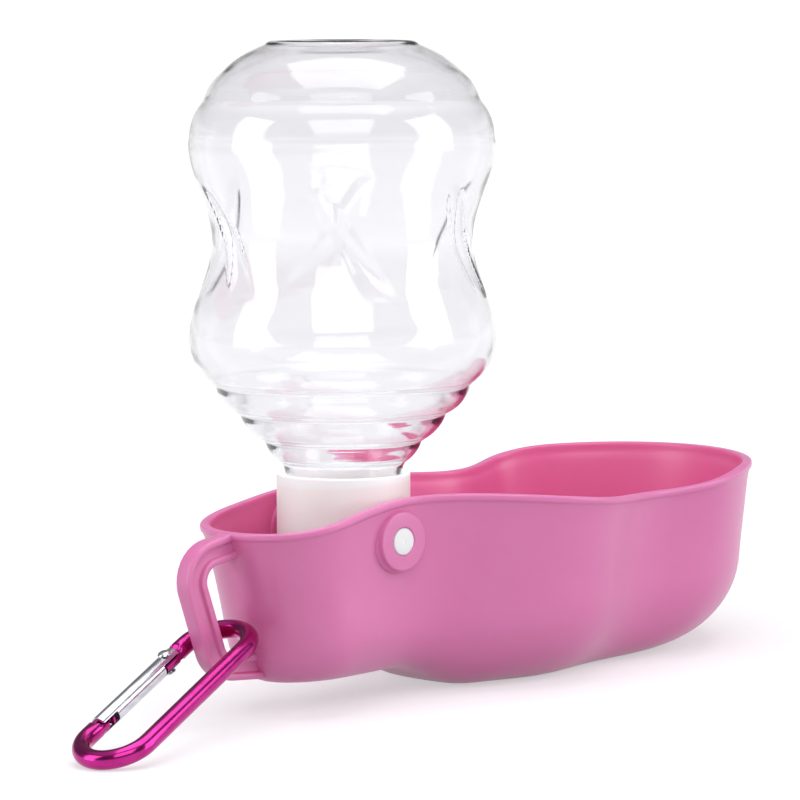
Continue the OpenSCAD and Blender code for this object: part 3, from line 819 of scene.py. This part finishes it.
def hookPieces():
    h = hook
    rivet, far = h["rivetRadius"], h["through"]
    body = addPiece("carabiner_body", hookMesh(), anodised, 38)
    combine(body, addPiece("notch", notch(), anodised), "DIFFERENCE")
    hole = rodPiece([(0, -far), (rivet, -far), (rivet, far), (0, far)], across(h["rivetAt"]), 24)
    combine(body, addPiece("hole", hole, anodised), "DIFFERENCE")
    mount(body, "hook", "anodised", "carabiner_body")
    tube = tubeProfile(h["gateBore"], h["gateRadius"], h["gateFrom"], gateTo)
    sleeve = addPiece("carabiner_gate", rodPiece(roundCorners(tube, h["gateRound"], 2), alongGate, 64),
                      platedSteel, 30)
    slot = h["tongueThick"] / 2 + h["slack"]
    for low, high in ((h["gateFrom"] - 1, h["tongueTo"] + 0.7), (pinAt - 3, gateTo + 1)):
        combine(sleeve, addPiece("slot", gateSlot(low, high, 2 * slot), platedSteel), "DIFFERENCE")
    mount(sleeve, "gate", "gate_steel", "carabiner_gate")
    head = h["rivetHead"] + [(rivet, h["rivetHead"][-1][1])]
    stud = rodPiece([(x, -z) for x, z in head] + head[::-1], across(h["rivetAt"]), 32)
    mount(addPiece("gate_rivet", stud, platedSteel), "hook", "gate_steel", "gate_rivet")
    p, end, edge = h["pinRadius"], h["gateRadius"] - 0.15, h["pinRound"]
    half = [(0, end), (p - edge, end), (p, end - edge)]
    pin = rodPiece([(x, -z) for x, z in half] + half[::-1], across(pinAt), 24)
    mount(addPiece("gate_latch_pin", pin, platedSteel), "gate", "gate_steel", "gate_latch_pin")


hookPieces()
for name in ("gate_spring", "gate_plunger"):  # these two stay as the CAD's own meshes
    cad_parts[name].data.materials.clear()
    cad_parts[name].data.materials.append(platedSteel)
print("snap-hook made")


# pale floor, world and softboxes; mirrored holds (height, light) pairs
studio = {"world": 0.3, "floorHalf": 20, "floorColour": (0.55, 0.55, 0.56), "near": 0.2, "far": 1.2,
          "liftNear": 0.5, "liftFar": 0.88, "throughBottle": 0.18,
          "mirrored": [(0.0, 0.9), (0.1, 0.85), (0.22, 0.2), (0.7, 0.2), (0.85, 0.7)]}


def joined(nodes, links, operation, sockets):
    total = sockets[0]
    for socket in sockets[1:]:
        more = nodes.new("ShaderNodeMath")
        more.operation = operation
        links.new(total, more.inputs[0])
        links.new(socket, more.inputs[1])
        total = more.outputs[0]
    return total


def seenDirectly(nodes, links):
    # 1 for what the camera or a reflection sees, a little less for what clear plastic does
    path = nodes.new("ShaderNodeLightPath")
    dimmer = nodes.new("ShaderNodeMath")
    dimmer.operation = "MULTIPLY_ADD"
    dimmer.inputs[1].default_value = -studio["throughBottle"]
    dimmer.inputs[2].default_value = 1
    links.new(path.outputs["Is Transmission Ray"], dimmer.inputs[0])
    rays = [path.outputs[ray] for ray in ("Is Camera Ray", "Is Glossy Ray", "Is Transmission Ray")]
    seen = joined(nodes, links, "MAXIMUM", rays)
    return joined(nodes, links, "MULTIPLY", [seen, dimmer.outputs[0]])


def seenMirrored(nodes, links):
    # 1 for what a reflection sees, unless it is seen through clear plastic
    path = nodes.new("ShaderNodeLightPath")
    less = nodes.new("ShaderNodeMath")
    less.operation = "SUBTRACT"
    less.use_clamp = True
    links.new(path.outputs["Is Glossy Ray"], less.inputs[0])
    links.new(path.outputs["Is Transmission Ray"], less.inputs[1])
    return less.outputs[0]


def makeFloor():
    bm = bmesh.new()
    bmesh.ops.create_grid(bm, x_segments=1, y_segments=1, size=studio["floorHalf"])
    material, nodes, links = nodeMaterial("floorPaper")
    shader = nodes["Principled BSDF"]
    shader.inputs["Base Color"].default_value = (*studio["floorColour"], 1)
    shader.inputs["Roughness"].default_value = 0.8
    shader.inputs["Specular IOR Level"].default_value = 0.1
    shader.inputs["Emission Color"].default_value = (1, 1, 1, 1)
    place = nodes.new("ShaderNodeTexCoord")  # the floor is lifted to white away from the object
    away = nodes.new("ShaderNodeVectorMath")
    away.operation = "LENGTH"
    links.new(place.outputs["Object"], away.inputs[0])
    span = nodes.new("ShaderNodeMapRange")
    span.inputs["From Min"].default_value = studio["near"]
    span.inputs["From Max"].default_value = studio["far"]
    span.inputs["To Min"].default_value = studio["liftNear"]
    span.inputs["To Max"].default_value = studio["liftFar"]
    links.new(away.outputs["Value"], span.inputs["Value"])
    lift = joined(nodes, links, "MULTIPLY", [seenDirectly(nodes, links), span.outputs["Result"]])
    links.new(lift, shader.inputs["Emission Strength"])
    floor = addPiece("floor", bm, material)


def makeWorld():
    world = bpy.data.worlds.new("studio")
    scene.world = world
    world.use_nodes = True
    nodes, links = world.node_tree.nodes, world.node_tree.links
    span = nodes.new("ShaderNodeMapRange")
    span.inputs["To Min"].default_value = studio["world"]
    span.inputs["To Max"].default_value = 1.0
    links.new(seenDirectly(nodes, links), span.inputs["Value"])
    place = nodes.new("ShaderNodeTexCoord")
    parts = nodes.new("ShaderNodeSeparateXYZ")
    links.new(place.outputs["Generated"], parts.inputs["Vector"])
    bands = nodes.new("ShaderNodeValToRGB")  # a dim room above a white horizon, for gloss and metal
    for _ in studio["mirrored"][2:]:
        bands.color_ramp.elements.new(0.5)
    for spot, (height, light) in zip(bands.color_ramp.elements, studio["mirrored"]):
        spot.position = height
        spot.color = (light, light, light, 1)
    links.new(parts.outputs["Z"], bands.inputs["Fac"])
    either = nodes.new("ShaderNodeMix")
    links.new(seenMirrored(nodes, links), either.inputs[0])
    links.new(span.outputs["Result"], either.inputs[2])
    links.new(bands.outputs["Color"], either.inputs[3])
    nodes["Background"].inputs["Color"].default_value = (1, 1, 1, 1)
    links.new(either.outputs[0], nodes["Background"].inputs["Strength"])


def softbox(name, place, aim, size, power):
    light = bpy.data.lights.new(name, "AREA")
    light.shape = "RECTANGLE"
    light.size, light.size_y = size
    light.energy = power
    box = bpy.data.objects.new(name, light)
    scene.collection.objects.link(box)
    ahead = (Vector(aim) - Vector(place)).normalized()
    box.matrix_world = Matrix.Translation(place) @ ahead.to_track_quat("-Z", "Y").to_matrix().to_4x4()


makeFloor()
makeWorld()
softbox("top", (0.05, -0.05, 1.4), (0, 0, 0.03), (1.2, 1.2), 10.2)
softbox("right", (0.62, -1.03, 0.45), (0, 0, 0.06), (0.7, 1.0), 6.7)
softbox("left", (-1.07, 0.54, 0.5), (-0.03, 0, 0.06), (0.6, 1.0), 5)
softbox("fill", (-0.88, -0.95, 1.0), (0, 0, 0.03), (1.2, 0.9), 7.6)
scene.view_settings.view_transform = "Standard"
print("studio made")

# camera at the photograph's place
cameraPlace = {"location": (-0.71960, -0.72622, 0.19370), "heading": 43.165, "down": 7.331,
               "roll": -2.374, "lens": 199.27}


def makeCamera():
    c = cameraPlace
    heading, down, roll = (math.radians(c[k]) for k in ("heading", "down", "roll"))
    ahead = Vector((math.sin(heading) * math.cos(down), math.cos(heading) * math.cos(down),
                    -math.sin(down)))
    level = Vector((math.cos(heading), -math.sin(heading), 0))
    above = level.cross(ahead)
    right = level * math.cos(roll) + above * math.sin(roll)
    up = above * math.cos(roll) - level * math.sin(roll)
    data = bpy.data.cameras.new("camera")
    data.sensor_width = 36
    data.lens = c["lens"]
    data.clip_end = 100
    view = bpy.data.objects.new("camera", data)
    scene.collection.objects.link(view)
    turn = Matrix((right, up, -ahead)).transposed().to_4x4()
    view.matrix_world = Matrix.Translation(Vector(c["location"])) @ turn
    scene.camera = view


makeCamera()
